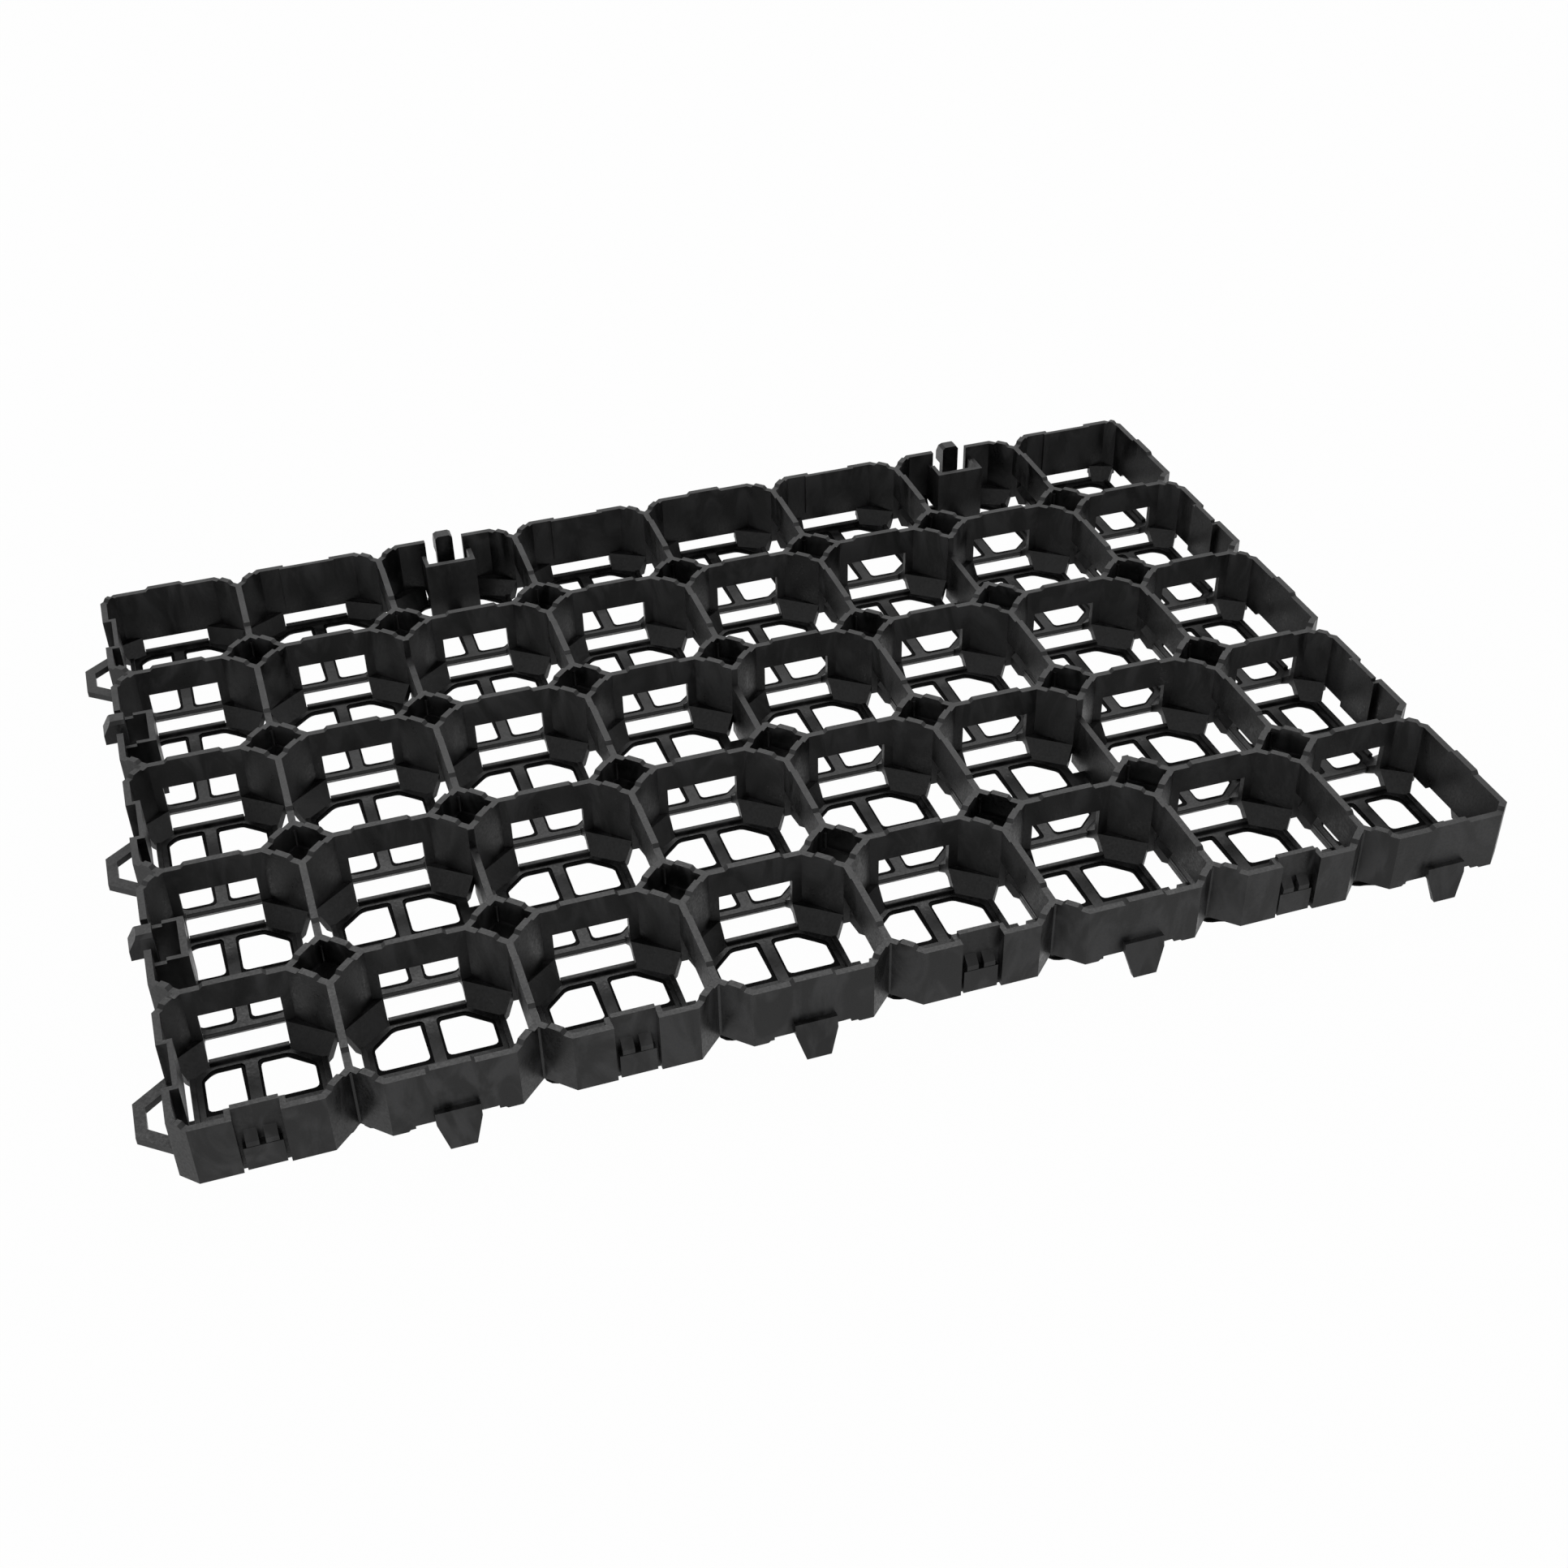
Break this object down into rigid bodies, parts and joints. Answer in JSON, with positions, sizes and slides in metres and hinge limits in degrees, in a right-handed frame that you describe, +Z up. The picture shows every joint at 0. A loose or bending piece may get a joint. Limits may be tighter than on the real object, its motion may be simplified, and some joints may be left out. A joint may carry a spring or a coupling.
{
  "type": "grass paver grid",
  "caption": "Flat moulded panel of open octagonal cells with perforated floors, edge rings, tongues and snap fingers that join panels; holds soil and grass under traffic.",
  "frame": {"origin": "middle of the underside of the panel, rings and tongues counted in", "axes": "+X along the long side, towards the edge with three tongues; +Y along the short side, towards the edge with four rings; +Z up"},
  "size_m": [0.596, 0.416, 0.0395],
  "materials": {
    "panel": "black recycled plastic, satin, with faint flow marks"
  },
  "bodies": {
    "root": {"paver_grid": "panel"}
  },
  "joints": []
}
